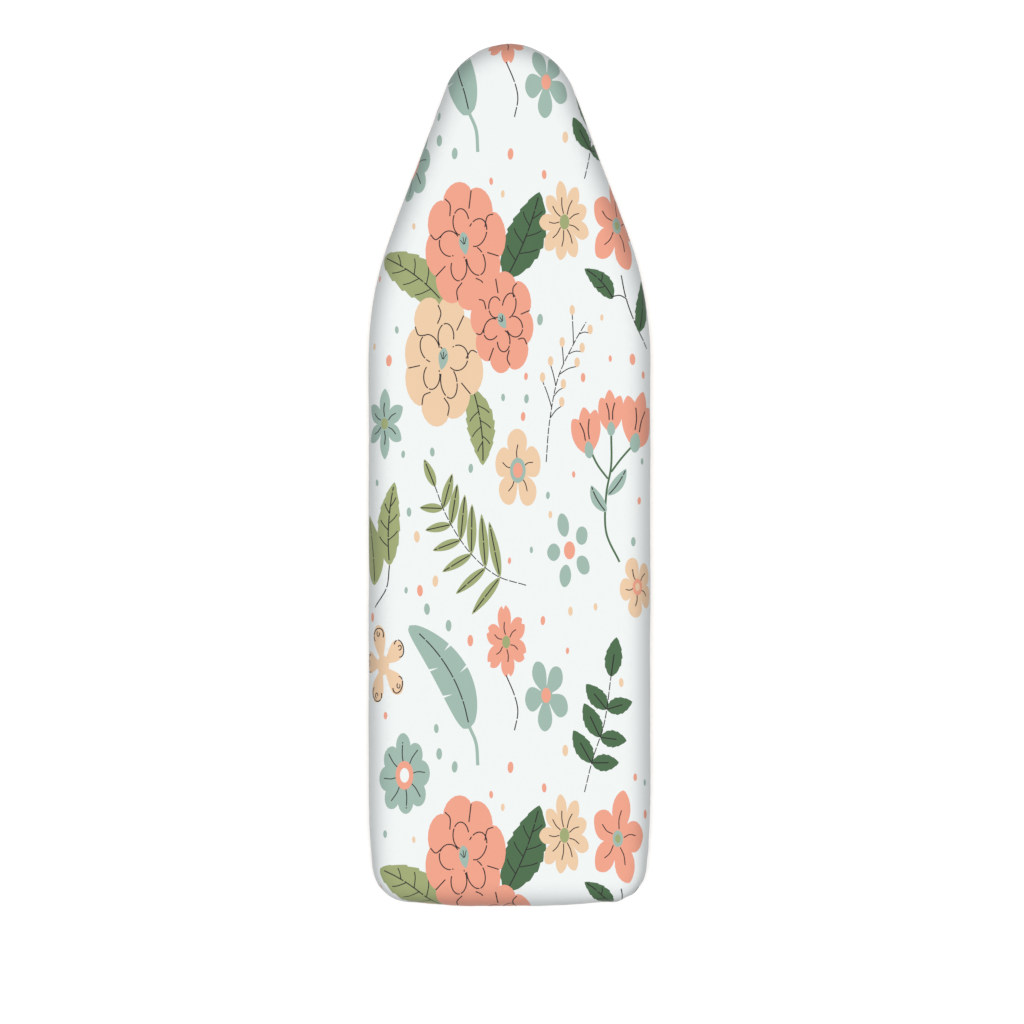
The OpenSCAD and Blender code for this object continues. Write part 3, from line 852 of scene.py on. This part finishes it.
def small_motif(kind, x, y, turn):
    """A small flower, a twig, a leaf or dots, for the cloth that turns down the sides."""
    motif = Motif(x, y, turn)
    if kind == 0:
        colour, eye = ((CORAL, OLIVE), (PEACH, OLIVE), (SAGE, CORAL))[int(abs(x + y)) % 3]
        flower(colour, x, y, 11, 5, 9, eyes=((eye, 2.8),), turn=turn, blunt=0.55)
    elif kind == 1:
        stroke([motif.at(180, 13), motif.at(90, 1), motif.at(0, 13)])
        for start, angle, reach in ((180, 135, 17), (0, 100, 14), (0, -70, 12)):
            leaf(GREEN, motif.at(start, 3), motif.at(angle, reach), 6, teeth=4)
    elif kind == 2:
        leaf(OLIVE, motif.at(180, 14), motif.at(0, 14), 9, bow=1.5, teeth=6, veins=((0.3, 1), (0.5, -1)))
    else:
        for colour, angle, along in ((SAGE, 160, 6), (CORAL, -60, 2), (PEACH, 20, 7)):
            motif.oval(colour, angle, along, 2.6, 2.2, count=16)


def side_places():
    """Where small motifs fit, all round where the cloth turns over, clear of the large ones."""
    spacing, line = 27.0, -17.0
    taken = []
    for _, points in drawn:
        xs, ys = [p[0] for p in points], [p[1] for p in points]
        for shift in REPEATS:
            taken.append((min(xs), max(xs), min(ys) + shift, max(ys) + shift))
    ring = outline(line, (10, 12, 10, 36, 8, 14))
    last, kind = None, 0
    places = []
    for k, (x, y) in enumerate(ring):
        size = 6.0 if kind == 3 else 11.0
        if last is not None and dist((x, y), last) < spacing:
            continue
        if any(a - size < x < b + size and c - size < y < d + size for a, b, c, d in taken):
            continue
        way = degrees(atan2(y - ring[k - 1][1], x - ring[k - 1][0]))
        places.append((kind, x, y, way))
        last, kind = (x, y), (kind + 1) % 4
    return places


def print_shapes():
    """All that is printed, as (colour, ring): the repeats, then the small motifs down the sides."""
    draw_print()
    places = side_places()
    shapes = [(colour, [(x, y + shift) for x, y in ring]) for colour, ring in drawn for shift in REPEATS]
    repeated = len(drawn)
    for place in places:
        small_motif(*place)
    return shapes + drawn[repeated:]


# -------- mesh helpers
def mesh_object(name, points, faces, materials, indices=None, uv=None):
    """A smooth piece that rides on the top. indices are its faces' materials, uv its flat cut in mm."""
    mesh = bpy.data.meshes.new(name)
    mesh.from_pydata([tuple(c * MM for c in p) for p in points], [], faces)
    for material in materials:
        mesh.materials.append(material)
    if indices is not None:
        mesh.polygons.foreach_set("material_index", indices)
    mesh.polygons.foreach_set("use_smooth", [True] * len(mesh.polygons))
    if uv is not None:
        layer = mesh.uv_layers.new(name="flat")
        corners = np.empty(len(mesh.loops), np.int32)
        mesh.loops.foreach_get("vertex_index", corners)
        layer.data.foreach_set("uv", (np.asarray(uv)[corners] * MM).astype(np.float32).ravel())
    mesh.validate()
    mesh.update()
    made = bpy.data.objects.new(name, mesh)
    show(made)
    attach(made, "top")
    return made


def skin(count, rings, first=0):
    """Faces over rings with that many points each, numbered on from the first, with both ends filled."""
    faces = []
    for k in range(rings - 1):
        a = first + k * count
        b = a + count
        faces += [(a + i, a + (i + 1) % count, b + (i + 1) % count, b + i) for i in range(count)]
    last = first + (rings - 1) * count
    faces.append(tuple(first + i for i in reversed(range(count))))
    faces.append(tuple(last + i for i in range(count)))
    return faces


def closed_object(name, points, faces, material, uv=None):
    """A closed piece in one material, its faces turned outwards."""
    made = mesh_object(name, points, faces, [material], uv=uv)
    work = bmesh.new()
    work.from_mesh(made.data)
    bmesh.ops.recalc_face_normals(work, faces=work.faces)
    work.to_mesh(made.data)
    work.free()
    made.data.update()
    return made


def stacked(name, rings, material):
    points = [p for ring in rings for p in ring]
    return closed_object(name, points, skin(len(rings[0]), len(rings)), material)


# -------- the fitted cover
PRINT = {
    CLOTH: (0.805, 0.835, 0.828),
    INK: (0.03, 0.026, 0.028),
    CORAL: (0.805, 0.342, 0.24),
    PEACH: (0.79, 0.56, 0.37),
    SAGE: (0.325, 0.455, 0.395),
    GREEN: (0.07, 0.147, 0.07),
    OLIVE: (0.325, 0.375, 0.17),
}
CUT_SPANS = (44, 44, 60, 120, 44, 50)  # points on each part of the cut edge, and of the rings in it
RING_SPANS = (30, 40, 34, 118, 34, 46)
MORE = 1.5  # how many times as many points outside the outline
RINGS = (12.0, 10.2, 8.5, 7.0, 5.5, 4.0, 2.5, 1.0, -0.5, -2.0, -3.5, -5.0, -6.8, -8.6, -10.4, -12.2, -14.0,
         -15.6, -17.2, -19.4, -22.0, -25.0, -28.0, -30.6)
GRID, GRID_IN = 4.2, 13.5  # the flat middle's grid, and how far inside the outline it stays


def bending_points():
    """Points of the flat cut where it has to bend: rings round its rim and a loose grid in its middle."""
    points = []
    for inset in RINGS:
        share = 1.0 if inset > 0 else MORE
        points += outline(inset, tuple(int(count * share) for count in RING_SPANS))
    grid = [(i * GRID + (j % 2) * GRID / 2, j * GRID) for i in range(-21, 22) for j in range(-64, 64)]
    inside = locate(np.array(grid))[0] > GRID_IN
    return points + [place for place, kept in zip(grid, inside) if kept]


def make_cover():
    """The cover: its flat cut with the print cut into it, folded over the pad."""
    edge = outline(-OUTSET, CUT_SPANS)[::-1]
    reach_x, reach_y = HALF_W + OUTSET + 5, HALF_L + OUTSET + 5
    points = list(edge)
    faces = [list(range(len(points)))]
    colours = [CLOTH]
    for colour, ring in print_shapes():
        if min(abs(x) for x, _ in ring) > reach_x or min(abs(y) for _, y in ring) > reach_y:
            continue
        faces.append(list(range(len(points), len(points) + len(ring))))
        points += ring
        colours.append(colour)
    points += bending_points()
    places, _, pieces, _, _, origins = delaunay_2d_cdt([Vector(p) for p in points], [], faces, 1, 1e-4)
    flat = np.array([tuple(place) for place in places])
    order = {name: k for k, name in enumerate(PRINT)}
    kept, indices = [], []
    for face, shapes in zip(pieces, origins):
        if 0 in shapes:
            kept.append(tuple(face))
            indices.append(order[colours[max(shapes)]])
    # every print colour takes painted shade where the cloth turns down over the edge
    cloths = [cotton(f"cotton_{name}", colour, painted_edge_shade=True) for name, colour in PRINT.items()]
    made = mesh_object("fitted_cover_print", fold(flat), kept, cloths, indices, flat)
    made.data.normals_split_custom_set_from_vertices(cloth_normals(flat).tolist())
    # how near the cloth is to the edge: 0 from 17 mm inside the outline, 1 at the outline and under the
    # board; it sets the share of painted shade in the colour
    turned = made.data.attributes.new("turned", "FLOAT", "POINT")
    turned.data.foreach_set("value", smooth(-locate(flat)[0], -17.0, 0.0).astype(np.float32))
    return made, area_of(edge) * MM * MM


cover, cover_area = make_cover()


# -------- pad, felt, hem and elastic
def along_ring(inset, step):
    """Evenly spaced points round the outline at an inset, each with its normal, way round and distance."""
    dense = np.array(outline(inset, (60, 60, 80, 220, 60, 80)))
    closed = np.vstack([dense, dense[:1]])
    lengths = np.concatenate([[0], np.cumsum(np.hypot(*np.diff(closed, axis=0).T))])
    count = int(lengths[-1] / step)
    at = np.linspace(0, lengths[-1], count, endpoint=False)
    xy = np.stack([np.interp(at, lengths, closed[:, k]) for k in (0, 1)], 1)
    _, _, normal, way = locate(xy)
    return xy - normal * drawn_in(way)[:, None], normal, way, at


def band(name, half_w, half_t, step, sides, material, ruffle=0.0):
    """A flattened tube along the hem, puckered by the elastic where the cloth is slack."""
    xy, normal, way, at = along_ring(HEM_IN, step)
    slack = slackness(way) * ruffle
    wave = waves(way, GATHERS)
    side_wave = waves(way, [(k + 1, phase + 1.3, height) for k, phase, height in GATHERS])
    girth = 3.2 * (half_w + half_t)
    rise = 0.5 if half_t > 1 else 0.0
    points, uv, faces = [], [], []
    for i in range(len(xy)):
        for k in range(sides):
            a = tau * k / sides
            across = half_w * copysign(abs(cos(a)) ** 0.8, cos(a))
            high = half_t * copysign(abs(sin(a)) ** 0.8, sin(a))
            x, y = xy[i] - normal[i] * (across * (1 + 0.12 * slack[i] * side_wave[i]))
            pucker = slack[i] * wave[i]
            points.append((x, y, HEM_Z + high * (1 + 0.2 * pucker) + rise * pucker))
            uv.append((at[i], k / sides * girth))
    for i in range(len(xy)):
        a, b = i * sides, (i + 1) % len(xy) * sides
        faces += [(a + k, a + (k + 1) % sides, b + (k + 1) % sides, b + k) for k in range(sides)]
    return closed_object(name, points, faces, material, uv=uv)


def make_stitches():
    """A row of short lockstitches, each a small bowed thread, along the hem."""
    inset, z = HEM_IN - 2.1, HEM_Z - 1.28
    pitch, length, thick = 3.1, 2.3, 0.27
    rows, sides = 5, 6
    xy, normal, way, _ = along_ring(inset, pitch)
    lift = waves(way, GATHERS) * slackness(way) * 0.45
    points, faces, uv = [], [], []
    for i in range(len(xy)):
        tangent = np.array([normal[i][1], -normal[i][0]])
        faces += skin(sides, rows, first=len(points))
        for r in range(rows):
            t = r / (rows - 1)
            bow = sin(pi * t)
            size = thick * (0.45 + 0.55 * bow)
            centre = xy[i] + tangent * (t - 0.5) * length + normal[i] * 0.12 * cos(pi * t)
            for k in range(sides):
                a = tau * k / sides
                x, y = centre + normal[i] * (size * cos(a))
                points.append((x, y, z + lift[i] - 0.22 * bow + size * 0.8 * sin(a)))
                uv.append((t * length, k * 0.25))
    return closed_object("hem_stitches", points, faces, stitch_thread(), uv=uv)


def level_ring(inset, z, draw=0.0, furthest=HALF_W):
    """The outline at an inset and height, drawn in by a share of the elastic's draw, to furthest at most."""
    flat = np.array(outline(inset))
    if draw:
        _, _, normal, way = locate(flat)
        flat = flat - normal * np.minimum(drawn_in(way) * draw, furthest - inset)[:, None]
    return [(x, y, z) for x, y in flat]


MIDDLE = 37.0  # inset of the innermost ring of the flat pieces


def make_foam():
    """The foam: its top and rounded edge under the cover, round the panel's edge, and back on the felt."""
    crest = ((MIDDLE, 0.0), (30, 0.05), (22, 0.1), (16, 0.12), (12, 0.25))
    rings = [level_ring(inset, COVER_TOP - COVER_T - drop) for inset, drop in crest]
    top, low = COVER_TOP - EDGE_R, COVER_TOP - EDGE_R - EDGE_SIDE
    upper_r, lower_r = EDGE_R - COVER_T, LOWER_R - COVER_T
    slip = 0.02
    for k in range(1, 9):
        a = pi / 2 * k / 8
        crown = CROWN * exp(-k / 2)
        z = top + upper_r * cos(a) - crown
        rings.append(level_ring(EDGE_R - upper_r * sin(a) + slip, z, draw=min(k / 6, 1)))
    for k in range(5):
        a = pi / 2 * k / 4
        z = low - lower_r * sin(a) + 0.03 * k
        rings.append(level_ring(LOWER_R - lower_r * cos(a) + slip, z, draw=1, furthest=WRAP - 0.6))
    inner = ((WRAP - 0.3, PANEL_LOW + 0.12), (WRAP, PANEL_LOW + 0.5), (WRAP, FOAM_LOW - 0.6),
             (WRAP + 0.6, FOAM_LOW), (22, FOAM_LOW), (MIDDLE, FOAM_LOW))
    rings += [level_ring(*place) for place in inner]
    return stacked("foam_pad_cut", rings, open_foam())


def make_felt():
    """The felt sheet, soft at its cut edge."""
    low, high = FELT_LOW + 0.02, FOAM_LOW - 0.04
    edge = ((MIDDLE, low), (WRAP + 1.2, low), (WRAP + 0.25, FELT_LOW + 0.35), (WRAP + 0.05, FELT_LOW + 1.1),
            (WRAP + 0.25, FOAM_LOW - 0.4), (WRAP + 1.2, high), (MIDDLE, high))
    return stacked("felt_sheet", [level_ring(*place) for place in edge], needled_felt())


foam = make_foam()
felt = make_felt()
hem_cloth = cotton("cotton_hem", (0.74, 0.79, 0.77), pitch=0.5)
hem = band("hem_casing_sewn", 3.0, 1.3, 1.1, 14, hem_cloth, ruffle=0.7)
elastic = band("hem_elastic_braid", 2.1, 0.5, 1.6, 10, braided((0.85, 0.85, 0.83)))
stitches = make_stitches()

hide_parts("fitted_cover")
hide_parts("hem_casing")
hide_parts("hem_elastic")
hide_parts("foam_pad")
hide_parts("felt_underlay")

# -------- materials of the CAD nodes
coat = powder_coat("coated_wire", (0.78, 0.8, 0.8))
plate = powder_coat("coated_plate", (0.76, 0.78, 0.78))
steel = zinc((0.62, 0.64, 0.66))
nylon = moulded("nylon", (0.86, 0.86, 0.82), 0.42)
rubber = moulded("rubber", (0.05, 0.052, 0.055), 0.62, sheen=0.1)
ply = birch_ply()
FINISH = {
    "board_panel": ply,
    "front_link": coat,
    "rear_link": coat,
    "base_loop": coat,
    "crossbar_front": plate,
    "crossbar_rear": plate,
    "top_bushes": nylon,
    "base_bushes": nylon,
    "fold_buffers": rubber,
    "feet_heel": rubber,
    "feet_nose": rubber,
}
for name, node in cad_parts.items():
    finish = FINISH.get(name, steel)
    if not node.material_slots:
        node.data.materials.append(finish)
    for slot in node.material_slots:
        slot.material = finish


# -------- the floor, in metres
FLOOR_HALF, FLOOR_DROP = 5.0, 0.0002
FLOOR_GLOW = 0.07  # keeps the floor's far parts from showing as a grey edge


def make_floor():
    """A pale floor that looks as bright far out as under the lamp, as a studio's does."""
    work = bmesh.new()
    bmesh.ops.create_grid(work, x_segments=24, y_segments=24, size=FLOOR_HALF)
    mesh = bpy.data.meshes.new("floor")
    work.to_mesh(mesh)
    work.free()
    tree = new_material("floor", (0.97, 0.97, 0.97), 0.9, specular=0.1)
    where = tree.place(1.0)
    cloud = tree.noise(where, 3.0)
    tree.set(Base_Color=tree.mix(cloud, (0.965, 0.965, 0.965), (0.975, 0.975, 0.975)))
    # the lamp's light falls off with distance, and the glow makes up what is lost
    away = tree.add("VectorMath", {0: where, 1: where}, operation="DOT_PRODUCT")["Value"]
    share = tree.math("DIVIDE", LAMP_HEIGHT ** 2, tree.plus(away, LAMP_HEIGHT ** 2))
    lost = tree.minus(1.0, tree.times(share, share))
    seen = tree.add("LightPath")["Is Camera Ray"]
    glow = tree.times(tree.plus(lost, FLOOR_GLOW), seen)
    tree.set(Emission_Color=WHITE, Emission_Strength=glow)
    mesh.materials.append(tree.owner)
    made = bpy.data.objects.new("floor", mesh)
    made.location.z = cad_low.z - FLOOR_DROP
    show(made)


make_floor()
